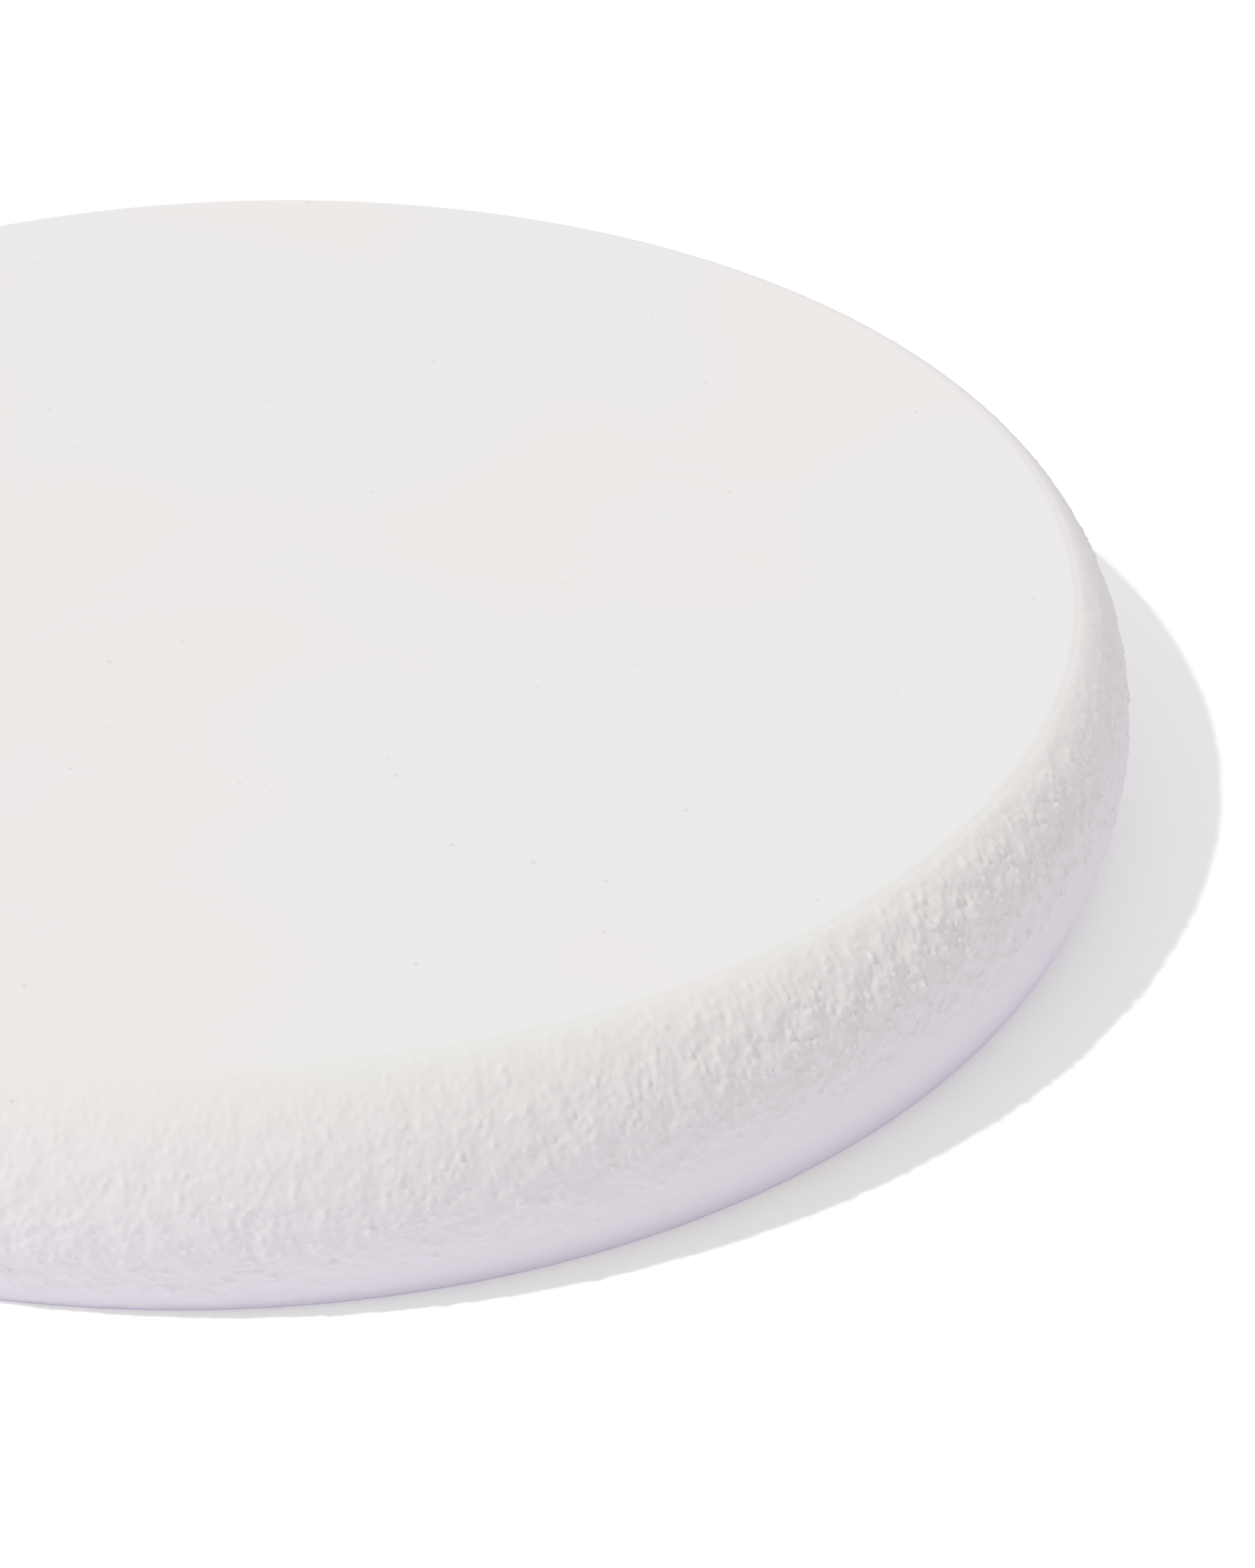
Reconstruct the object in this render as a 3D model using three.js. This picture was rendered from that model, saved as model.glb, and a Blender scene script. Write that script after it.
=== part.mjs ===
// A round foam powder puff, in millimetres with +Z up.
// It is one disc of fine-celled foam: two flat, smooth faces, and between them an edge that was
// ground round on a wheel. The origin is the middle of the face that it lies on.
import * as THREE from 'three';

// Driving dimensions of the disc
const puffDiameter = 60;
const puffThickness = 7.2;

// The ground edge bulges out from both faces and is widest a little below half height.
// An inset is how far a face's rim lies inside the widest girth.
const girthHeightShare = 0.45;
const upperFaceInset = 2.35;
const lowerFaceInset = 0.9;

// The edge leaves each face at a break angle: the upper shoulder is rolled over softly, and the
// lower one is short and steep.
const upperBreakAngle = THREE.MathUtils.degToRad(2);
const lowerBreakAngle = THREE.MathUtils.degToRad(64);

// Between the upper face and the girth, the curve holds its direction at each end for a share of
// the way to the corner where the two directions cross.
const shoulderHoldShare = 0.46;
const girthHoldShare = 0.63;

// How finely the round forms are faceted
const facetsAround = 72;
const facetsPerEdgeCurve = 8;

// Half of the disc's cross-section, from the middle of the lower face, round the ground edge,
// to the middle of the upper face
function discSection() {
  const radius = puffDiameter / 2;
  const girthHeight = puffThickness * girthHeightShare;
  const lowerRim = radius - lowerFaceInset;
  const upperRim = radius - upperFaceInset;
  const lowerKnee = lowerFaceInset * Math.tan(lowerBreakAngle);
  const upperCorner = puffThickness - upperFaceInset * Math.tan(upperBreakAngle);
  const { lerp } = THREE.MathUtils;

  const section = new THREE.Path();
  section.moveTo(0, 0);
  section.lineTo(lowerRim, 0);
  section.quadraticCurveTo(radius, lowerKnee, radius, girthHeight);
  section.bezierCurveTo(
    radius,
    lerp(girthHeight, upperCorner, girthHoldShare),
    lerp(upperRim, radius, shoulderHoldShare),
    lerp(puffThickness, upperCorner, shoulderHoldShare),
    upperRim,
    puffThickness,
  );
  section.lineTo(0, puffThickness);
  return section;
}

function foamDisc() {
  const geometry = new THREE.LatheGeometry(discSection().getPoints(facetsPerEdgeCurve), facetsAround);
  // A lathe turns its section about Y, and the puff stands along Z.
  geometry.rotateX(Math.PI / 2);
  const foam = new THREE.MeshStandardMaterial({
    color: '#edebe8',
    roughness: 0.95,
    metalness: 0,
  });
  const mesh = new THREE.Mesh(geometry, foam);
  mesh.name = 'foam_disc';
  return mesh;
}

const group = new THREE.Group();
group.add(foamDisc());

export default group;
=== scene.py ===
# The looks of a round foam powder puff, built around its CAD frame. Everything is in metres.
import math

import bpy
from mathutils import Matrix, Vector, noise

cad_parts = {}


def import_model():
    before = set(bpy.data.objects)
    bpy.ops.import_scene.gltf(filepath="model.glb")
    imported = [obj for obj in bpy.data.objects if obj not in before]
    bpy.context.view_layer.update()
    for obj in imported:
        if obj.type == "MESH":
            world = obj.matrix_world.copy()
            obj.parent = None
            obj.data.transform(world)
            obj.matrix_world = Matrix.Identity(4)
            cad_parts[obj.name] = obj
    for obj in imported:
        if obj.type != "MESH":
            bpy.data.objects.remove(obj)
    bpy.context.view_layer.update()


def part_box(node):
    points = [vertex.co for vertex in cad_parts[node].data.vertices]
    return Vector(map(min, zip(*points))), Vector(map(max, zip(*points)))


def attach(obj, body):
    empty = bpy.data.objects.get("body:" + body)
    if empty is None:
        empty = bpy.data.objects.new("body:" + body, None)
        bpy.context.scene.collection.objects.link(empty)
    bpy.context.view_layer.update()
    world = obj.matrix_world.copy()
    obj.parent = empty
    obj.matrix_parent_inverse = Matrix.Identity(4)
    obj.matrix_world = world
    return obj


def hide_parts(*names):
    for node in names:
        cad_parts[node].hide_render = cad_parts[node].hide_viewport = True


MM = 0.001

# The CAD disc's ground edge, which the dressed puff repeats. The diameter and thickness come from
# the frame. Held for two thirds at both ends, a cubic curve is the same as the CAD's quadratic one.
GIRTH_HEIGHT_SHARE = 0.45
UPPER_INSET = 2.35 * MM
LOWER_INSET = 0.9 * MM
UPPER_BREAK_ANGLE = math.radians(2)
LOWER_BREAK_ANGLE = math.radians(64)
SHOULDER_HOLD_SHARE = 0.46
GIRTH_HOLD_SHARE = 0.63
EVEN_HOLD_SHARE = 2 / 3

# The shoulder was ground by hand, and is rolled over further on one side than on the other.
SHOULDER_SWING = 1.0 * MM
SHOULDER_WIDEST_AT = math.radians(-118)

# The mesh: staggered rings of facets round the ground edge, thinning out towards the middle of each face
FACETS_AROUND = 2304
EDGE_STEP = 0.085 * MM
SAMPLES_PER_CURVE = 400
FIRST_FACE_STEP = 0.08 * MM
FACE_STEP_GROWTH = 1.35
LARGEST_FACE_STEP = 1.2 * MM
COARSEST_FACETS = 18
SLENDEREST_FACET_SHARE = 0.7

# The grain that grinding leaves: crumbs of two sizes and unequal heights, on swells of two sizes.
# A crumb reaches out a share of the spacing. Its height is drawn from the place of its centre, times
# a shuffle that takes neighbours to different cells of the noise.
CRUMB_SPACINGS = (0.26 * MM, 0.45 * MM)
CRUMB_HEIGHTS = (0.10 * MM, 0.17 * MM)
CRUMB_REACH_SHARES = (0.66, 0.31)
LEAST_CRUMB_SHARE = 0.2
CRUMB_SHUFFLE = 17
SWELL_SIZES = (0.2 * MM, 0.7 * MM)
SWELL_HEIGHTS = (0.04 * MM, 0.11 * MM)
GRAIN_SEAT = 0.06 * MM

# Most of the edge has an even grain, which grows downwards. Along one stretch the grain gathers on
# the shoulder and is rougher. Shares are of the way down the edge.
EVEN_GRAIN_SHARE = 0.64
EVEN_GRAIN_PEAK_SHARE = 0.7
EVEN_GRAIN_FALL = 0.6
ROUGH_GRAIN_PEAK_SHARE = 0.28
ROUGH_GRAIN_FALL = 3
ROUGHEST_AT = math.radians(-43)
ROUGH_STRETCH_NARROWNESS = 12

# A faint crease runs round just inside the ground edge.
CREASE_DEPTH = 0.018 * MM
CREASE_AT = 0.17 * MM
CREASE_WIDTH = 0.11 * MM

# The foam is dull. What is too fine for the mesh is bump: crumbs on the ground edge, and a trace of
# them on the faces.
FOAM_ROUGHNESS = 0.95
FOAM_SPECULAR = 0.1
FINE_CRUMB_SIZE = 0.1 * MM
FINE_CRUMB_HEIGHT = 0.008 * MM
FINE_CRUMB_REACH_SHARE = 0.75
FACE_CRUMB_SHARE = 0.15

# The foam is a little warmer where a broad noise is low, and its smooth skin has rare fine pores, whose
# shade is painted in as darker spots.
FOAM_COLOUR = (0.844, 0.826, 0.807)
WARM_FOAM_COLOUR = (0.850, 0.820, 0.803)
PATCH_SIZE = 14 * MM
PATCH_STARTS_AT = 0.58
PATCH_FULL_AT = 0.35
PORE_SPACING = 1.3 * MM
LARGEST_PORE = 0.11 * MM
PORE_EDGE_SHARE = 0.3
# Painted shade: the darker colour that stands in for the shade inside each pore
PAINTED_PORE_SHADE = (0.74, 0.72, 0.71)

# The photograph's viewpoint
PHOTO_HEIGHT_PX = 2156
SENSOR_MM = 36
FOCAL_LENGTH_PX = 7329
VIEW_ELEVATION = math.radians(31.92)
VIEW_DISTANCE = 180 * MM
VIEW_PAN = math.radians(-4.15)
VIEW_TILT = math.radians(-1.28)
VIEW_ROLL = math.radians(2.64)
NEAR_LIMIT = 5 * MM

# Light, in shares of what falls on a level surface: a small key lamp, and a sky that is brighter and
# bluer on one side
KEY_LIGHT = (0.274, 0.306, 0.282)
KEY_AZIMUTH = math.radians(190)
KEY_ELEVATION = math.radians(55.3)
KEY_ANGLE = math.radians(2.4)
SKY_BRIGHT_SIDE = (0.908, 0.894, 0.988)
SKY_DIM_SIDE = (0.538, 0.493, 0.462)
SKY_BRIGHT_AZIMUTH = math.radians(121)

# The floor is a white light table with a faint lavender glow. The camera sees it as pure white where
# nothing shades it.
FLOOR_HALF_WIDTH = 3.0
FLOOR_SEEN_COLOUR = (1.13, 1.175, 1.12)
FLOOR_BOUNCE_COLOUR = (0.94, 0.935, 0.94)
FLOOR_GLOW = (0.09, 0.085, 0.22)


def bend(handles, share):
    """A point of the cubic curve with these four handles, and its direction there."""
    start, leave, arrive, end = handles
    rest = 1 - share
    point = rest**3 * start + 3 * rest**2 * share * leave + 3 * rest * share**2 * arrive + share**3 * end
    heading = rest**2 * (leave - start) + 2 * rest * share * (arrive - leave) + share**2 * (end - arrive)
    return point, heading.normalized()


def edge_curves(radius, thickness, upper_inset):
    """The two curves of the ground edge in section, as (r, z), from the upper face's rim to the lower's."""
    girth = Vector((radius, thickness * GIRTH_HEIGHT_SHARE))
    upper_rim = Vector((radius - upper_inset, thickness))
    lower_rim = Vector((radius - LOWER_INSET, 0))
    upper_corner = Vector((radius, thickness - upper_inset * math.tan(UPPER_BREAK_ANGLE)))
    lower_corner = Vector((radius, LOWER_INSET * math.tan(LOWER_BREAK_ANGLE)))
    upper_curve = (
        upper_rim,
        upper_rim.lerp(upper_corner, SHOULDER_HOLD_SHARE),
        girth.lerp(upper_corner, GIRTH_HOLD_SHARE),
        girth,
    )
    lower_curve = (
        girth,
        girth.lerp(lower_corner, EVEN_HOLD_SHARE),
        lower_rim.lerp(lower_corner, EVEN_HOLD_SHARE),
        lower_rim,
    )
    return upper_curve, lower_curve


def even_stations(curves):
    """(curve, share) of places EDGE_STEP apart along the curves, with the distance to each."""
    path = [
        (curve, i / SAMPLES_PER_CURVE)
        for curve in range(len(curves))
        for i in range(SAMPLES_PER_CURVE + 1)
    ]
    points = [bend(curves[curve], share)[0] for curve, share in path]
    lengths = [0.0]
    for a, b in zip(points, points[1:]):
        lengths.append(lengths[-1] + (b - a).length)
    count = round(lengths[-1] / EDGE_STEP)
    wanted = [lengths[-1] * i / count for i in range(count + 1)]
    stations = []
    at = 0
    for distance in wanted:
        while at < len(path) - 1 and lengths[at] < distance - EDGE_STEP / SAMPLES_PER_CURVE:
            at += 1
        stations.append((*path[at], distance))
    return stations


def grain(place):
    """How far the ground surface stands out at a place. The crumbs are seated below the smooth form."""
    height = -GRAIN_SEAT
    for size, swell_height in zip(SWELL_SIZES, SWELL_HEIGHTS):
        height += swell_height * noise.noise(place / size)
    for spacing, crumb_height, reach_share in zip(CRUMB_SPACINGS, CRUMB_HEIGHTS, CRUMB_REACH_SHARES):
        distances, centres = noise.voronoi(place / spacing)
        for distance, centre in zip(distances, centres):
            inside = max(0, 1 - (distance / reach_share) ** 2)
            rise = LEAST_CRUMB_SHARE + (1 - LEAST_CRUMB_SHARE) * abs(noise.cell(centre * CRUMB_SHUFFLE))
            height += crumb_height * rise * inside**2
    return height


def shoulder_inset(turn):
    """How far the upper face's rim lies inside the girth, at a turn round the puff."""
    return UPPER_INSET + SHOULDER_SWING * math.cos(turn - SHOULDER_WIDEST_AT)


def hump(share, peak_share, fall):
    """A smooth hump that is 1 at its peak and nothing at 0 and 1."""
    rise = fall * peak_share / (1 - peak_share)
    return (share / peak_share) ** rise * (max(0, 1 - share) / (1 - peak_share)) ** fall


def ground_share(turn, down):
    """How rough the edge was ground, out of 1, at a turn round the puff and a share of the way down."""
    even = EVEN_GRAIN_SHARE * hump(down, EVEN_GRAIN_PEAK_SHARE, EVEN_GRAIN_FALL)
    rough = hump(down, ROUGH_GRAIN_PEAK_SHARE, ROUGH_GRAIN_FALL)
    nearness = ((1 + math.cos(turn - ROUGHEST_AT)) / 2) ** ROUGH_STRETCH_NARROWNESS
    return even + (rough - even) * nearness


def edge_rings(radius, thickness):
    """The rings of vertices down the ground edge, every other one half a facet round, and the share
    to which each vertex is ground."""
    stations = even_stations(edge_curves(radius, thickness, UPPER_INSET))
    total = stations[-1][2]
    rings = []
    shares = []
    for i, (curve, share, distance) in enumerate(stations):
        crease = CREASE_DEPTH * math.exp(-(((distance - CREASE_AT) / CREASE_WIDTH) ** 2))
        ring = []
        for j in range(FACETS_AROUND):
            turn = 2 * math.pi * (j + i % 2 / 2) / FACETS_AROUND
            around = Vector((math.cos(turn), math.sin(turn), 0))
            curves = edge_curves(radius, thickness, shoulder_inset(turn))
            point, heading = bend(curves[curve], share)
            out = around * -heading.y + Vector((0, 0, heading.x))
            ground = ground_share(turn, distance / total)
            relief = grain(around * radius + Vector((0, 0, distance))) * ground - crease
            ring.append(around * point.x + Vector((0, 0, point.y)) + out * relief)
            shares.append(ground)
        rings.append(ring)
    return rings, shares


def triangle(faces, corners, flip):
    """Adds a facet, turned over where it has to look the other way."""
    faces.append(corners[::-1] if flip else corners)


def join_staggered(faces, first, second, count, second_leads):
    """Adds the facets between two rings, of which one lies half a facet further round."""
    for j in range(count):
        k = (j + 1) % count
        if second_leads:
            corners = ((first + j, second + j, first + k), (second + j, second + k, first + k))
        else:
            corners = ((first + j, second + k, first + k), (first + j, second + j, second + k))
        faces.extend(corners)


def join_thinned(faces, outer, outer_count, inner, inner_count, flip):
    """Adds the facets between two rings of a face, where the inner one has as many or half as many."""
    for i in range(inner_count):
        j = (i + 1) % inner_count
        if inner_count == outer_count:
            triangle(faces, (outer + i, outer + j, inner + j), flip)
            triangle(faces, (outer + i, inner + j, inner + i), flip)
        else:
            a, b, c = 2 * i, 2 * i + 1, (2 * i + 2) % outer_count
            triangle(faces, (inner + i, outer + a, outer + b), flip)
            triangle(faces, (inner + i, outer + b, inner + j), flip)
            triangle(faces, (inner + j, outer + b, outer + c), flip)


def face_rings(rim_radius):
    """The share of the way out and the vertex count of each ring from a face's rim to near its middle.
    The radius need only be close to the rim's."""
    rings = []
    radius = rim_radius
    count = FACETS_AROUND
    step = FIRST_FACE_STEP
    while radius - step > LARGEST_FACE_STEP:
        radius -= step
        step = min(step * FACE_STEP_GROWTH, LARGEST_FACE_STEP)
        if count > COARSEST_FACETS and 2 * math.pi * radius / count < SLENDEREST_FACET_SHARE * step:
            count //= 2
        rings.append((radius / rim_radius, count))
    return rings


def add_face(vertices, faces, rim, start, radius, flip):
    """Closes one face of the puff inside the ring at its rim, whose vertices begin at index start."""
    outer = start
    outer_count = FACETS_AROUND
    height = Vector((0, 0, rim[0].z))
    for share, count in face_rings(radius):
        inner = len(vertices)
        skip = FACETS_AROUND // count
        vertices += [height + (rim[i * skip] - height) * share for i in range(count)]
        join_thinned(faces, outer, outer_count, inner, count, flip)
        outer = inner
        outer_count = count
    middle = len(vertices)
    vertices.append(height)
    for i in range(outer_count):
        triangle(faces, (outer + i, outer + (i + 1) % outer_count, middle), flip)


def build_puff(radius, thickness):
    """The foam as one closed mesh, which marks how far each vertex is ground."""
    rings, ground = edge_rings(radius, thickness)
    vertices = [vertex for ring in rings for vertex in ring]
    faces = []
    last = len(rings) - 1
    for i in range(last):
        join_staggered(faces, i * FACETS_AROUND, (i + 1) * FACETS_AROUND, FACETS_AROUND, i % 2 == 0)
    add_face(vertices, faces, rings[0], 0, radius, False)
    add_face(vertices, faces, rings[last], last * FACETS_AROUND, radius, True)

    mesh = bpy.data.meshes.new("powder_puff")
    mesh.from_pydata(vertices, [], faces)
    attribute = mesh.attributes.new("ground", "FLOAT", "POINT")
    attribute.data.foreach_set("value", ground + [0.0] * (len(vertices) - len(ground)))
    mesh.materials.append(foam_material())
    mesh.polygons.foreach_set("use_smooth", [True] * len(faces))
    mesh.update()
    puff = bpy.data.objects.new("powder_puff", mesh)
    bpy.context.scene.collection.objects.link(puff)
    return puff


def node(nodes, kind, operation=None, **inputs):
    """A new shader node, with its inputs set by name."""
    made = nodes.new(kind)
    if operation:
        made.operation = operation
    for name, value in inputs.items():
        made.inputs[name.replace("_", " ")].default_value = value
    return made


def calculated(nodes, links, operation, first, second):
    """What a new Math node makes of two values."""
    made = node(nodes, "ShaderNodeMath", operation)
    links.new(first, made.inputs[0])
    links.new(second, made.inputs[1])
    return made.outputs["Value"]


def ranged(nodes, links, value, **limits):
    """A new Map Range node that a value goes into."""
    made = node(nodes, "ShaderNodeMapRange", **limits)
    links.new(value, made.inputs["Value"])
    return made


def skin_colour(nodes, links, place):
    """The colour of the foam's skin, with its warmer patches."""
    patches = node(nodes, "ShaderNodeTexNoise", Scale=1 / PATCH_SIZE, Detail=1.0)
    links.new(place, patches.inputs["Vector"])
    warmth = ranged(nodes, links, patches.outputs["Fac"], From_Min=PATCH_STARTS_AT, From_Max=PATCH_FULL_AT)
    skin = nodes.new("ShaderNodeMixRGB")
    skin.inputs["Color1"].default_value = (*FOAM_COLOUR, 1)
    skin.inputs["Color2"].default_value = (*WARM_FOAM_COLOUR, 1)
    links.new(warmth.outputs["Result"], skin.inputs["Fac"])
    return skin.outputs["Color"]


def painted_pore_shade(nodes, links, place, ground):
    """How strongly a place is darkened by the painted shade in the pores, out of 1. The pores vary in
    width, and the ground edge has fewer.
    """
    spots = node(nodes, "ShaderNodeTexVoronoi", Scale=1 / PORE_SPACING)
    links.new(place, spots.inputs["Vector"])
    widest = ranged(nodes, links, ground, To_Min=LARGEST_PORE / PORE_SPACING, To_Max=0.0)
    width = calculated(nodes, links, "MULTIPLY", spots.outputs["Color"], widest.outputs["Result"])
    depth = calculated(nodes, links, "SUBTRACT", width, spots.outputs["Distance"])
    pore_shade = ranged(nodes, links, depth, From_Max=PORE_EDGE_SHARE * LARGEST_PORE / PORE_SPACING)
    return pore_shade.outputs["Result"]


def crumbed_normal(nodes, links, place, ground):
    """The way the surface faces, with the crumbs that are too fine for the mesh."""
    crumbs = node(nodes, "ShaderNodeTexVoronoi", Scale=1 / FINE_CRUMB_SIZE)
    links.new(place, crumbs.inputs["Vector"])
    distance = crumbs.outputs["Distance"]
    dome = ranged(nodes, links, distance, From_Max=FINE_CRUMB_REACH_SHARE, To_Min=1.0, To_Max=0.0)
    dome.interpolation_type = "SMOOTHSTEP"
    rise = calculated(nodes, links, "MULTIPLY", dome.outputs["Result"], crumbs.outputs["Color"])
    strength = ranged(nodes, links, ground, To_Min=FACE_CRUMB_SHARE, To_Max=1.0)
    bump = node(nodes, "ShaderNodeBump", Distance=FINE_CRUMB_HEIGHT)
    links.new(rise, bump.inputs["Height"])
    links.new(strength.outputs["Result"], bump.inputs["Strength"])
    return bump.outputs["Normal"]


def foam_material():
    """White foam: granular where the mesh is marked as ground, and finely porous on the faces, with the
    shade in the pores painted as darker spots.
    """
    material = bpy.data.materials.new("foam")
    material.use_nodes = True
    nodes, links = material.node_tree.nodes, material.node_tree.links
    shader = nodes["Principled BSDF"]
    shader.inputs["Roughness"].default_value = FOAM_ROUGHNESS
    shader.inputs["Specular IOR Level"].default_value = FOAM_SPECULAR
    place = nodes.new("ShaderNodeTexCoord").outputs["Object"]
    mark = nodes.new("ShaderNodeAttribute")
    mark.attribute_name = "ground"
    ground = mark.outputs["Fac"]

    # The skin's colour, darkened by painted shade where the pores are
    colour = nodes.new("ShaderNodeMixRGB")
    colour.inputs["Color2"].default_value = (*PAINTED_PORE_SHADE, 1)
    links.new(painted_pore_shade(nodes, links, place, ground), colour.inputs["Fac"])
    links.new(skin_colour(nodes, links, place), colour.inputs["Color1"])
    links.new(colour.outputs["Color"], shader.inputs["Base Color"])
    links.new(crumbed_normal(nodes, links, place, ground), shader.inputs["Normal"])
    return material


def floor():
    """The light table. It shows the camera one colour and sends another back to the puff, with a glow."""
    bpy.ops.mesh.primitive_plane_add(size=2 * FLOOR_HALF_WIDTH)
    plane = bpy.context.object
    plane.name = "floor"
    material = bpy.data.materials.new("white_floor")
    material.use_nodes = True
    nodes, links = material.node_tree.nodes, material.node_tree.links
    nodes.remove(nodes["Principled BSDF"])
    path = nodes.new("ShaderNodeLightPath")
    seen = nodes.new("ShaderNodeBsdfDiffuse")
    seen.inputs["Color"].default_value = (*FLOOR_SEEN_COLOUR, 1)
    bounce = nodes.new("ShaderNodeBsdfDiffuse")
    bounce.inputs["Color"].default_value = (*FLOOR_BOUNCE_COLOUR, 1)
    glow = nodes.new("ShaderNodeEmission")
    glow.inputs["Color"].default_value = (*FLOOR_GLOW, 1)
    lit = nodes.new("ShaderNodeAddShader")
    links.new(bounce.outputs[0], lit.inputs[0])
    links.new(glow.outputs[0], lit.inputs[1])
    mix = nodes.new("ShaderNodeMixShader")
    links.new(path.outputs["Is Camera Ray"], mix.inputs[0])
    links.new(lit.outputs[0], mix.inputs[1])
    links.new(seen.outputs[0], mix.inputs[2])
    links.new(mix.outputs[0], nodes["Material Output"].inputs["Surface"])
    plane.data.materials.append(material)


def sky():
    """The light from all round, from its dim side to its bright side. The camera sees it as white."""
    world = bpy.data.worlds.new("studio")
    bpy.context.scene.world = world
    world.use_nodes = True
    nodes, links = world.node_tree.nodes, world.node_tree.links
    direction = nodes.new("ShaderNodeTexCoord")
    side = nodes.new("ShaderNodeVectorMath")
    side.operation = "DOT_PRODUCT"
    side.inputs[1].default_value = (math.cos(SKY_BRIGHT_AZIMUTH), math.sin(SKY_BRIGHT_AZIMUTH), 0)
    links.new(direction.outputs["Generated"], side.inputs[0])
    share = ranged(nodes, links, side.outputs["Value"], From_Min=-1.0)
    colour = nodes.new("ShaderNodeMixRGB")
    colour.inputs["Color1"].default_value = (*SKY_DIM_SIDE, 1)
    colour.inputs["Color2"].default_value = (*SKY_BRIGHT_SIDE, 1)
    links.new(share.outputs["Result"], colour.inputs["Fac"])
    light = nodes["Background"]
    links.new(colour.outputs["Color"], light.inputs["Color"])
    white = nodes.new("ShaderNodeBackground")
    white.inputs["Color"].default_value = (1, 1, 1, 1)
    path = nodes.new("ShaderNodeLightPath")
    shown = path.outputs["Is Camera Ray"]
    for other in ("Is Glossy Ray", "Is Transmission Ray"):
        shown = calculated(nodes, links, "MAXIMUM", shown, path.outputs[other])
    mix = nodes.new("ShaderNodeMixShader")
    links.new(shown, mix.inputs[0])
    links.new(light.outputs[0], mix.inputs[1])
    links.new(white.outputs[0], mix.inputs[2])
    links.new(mix.outputs[0], nodes["World Output"].inputs["Surface"])


def key_light():
    """The small lamp that lights the grain from the side."""
    lamp = bpy.data.lights.new("key", "SUN")
    lamp.color = KEY_LIGHT
    lamp.energy = math.pi / math.sin(KEY_ELEVATION)
    lamp.angle = KEY_ANGLE
    key = bpy.data.objects.new("key", lamp)
    level = math.cos(KEY_ELEVATION)
    east = level * math.cos(KEY_AZIMUTH)
    north = level * math.sin(KEY_AZIMUTH)
    towards = Vector((east, north, math.sin(KEY_ELEVATION)))
    key.rotation_euler = towards.to_track_quat("Z", "Y").to_euler()
    bpy.context.scene.collection.objects.link(key)


def camera(target):
    """The photograph's viewpoint, aimed at the target and then turned."""
    lens = bpy.data.cameras.new("photo_view")
    # Blender lays the sensor's width along the longer side of the picture, which is its height here.
    lens.sensor_width = SENSOR_MM
    lens.lens = FOCAL_LENGTH_PX / PHOTO_HEIGHT_PX * SENSOR_MM
    lens.clip_start = NEAR_LIMIT
    view = bpy.data.objects.new("photo_view", lens)
    back = Vector((0, -math.cos(VIEW_ELEVATION), math.sin(VIEW_ELEVATION)))
    right = Vector((1, 0, 0))
    up = back.cross(right)
    aim = Matrix((right, up, back)).transposed().to_4x4()
    turn = (
        Matrix.Rotation(VIEW_PAN, 4, "Y")
        @ Matrix.Rotation(VIEW_TILT, 4, "X")
        @ Matrix.Rotation(-VIEW_ROLL, 4, "Z")
    )
    view.matrix_world = Matrix.Translation(target + back * VIEW_DISTANCE) @ aim @ turn
    bpy.context.scene.collection.objects.link(view)
    bpy.context.scene.camera = view


def main():
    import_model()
    low, high = (Vector(corner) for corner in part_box("foam_disc"))
    radius, thickness = (high.x - low.x) / 2, high.z - low.z

    puff = build_puff(radius, thickness)
    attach(puff, "root")
    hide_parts("foam_disc")

    floor()
    sky()
    key_light()
    camera(Vector((0, 0, thickness / 2)))
    bpy.context.scene.view_settings.view_transform = "Standard"


main()
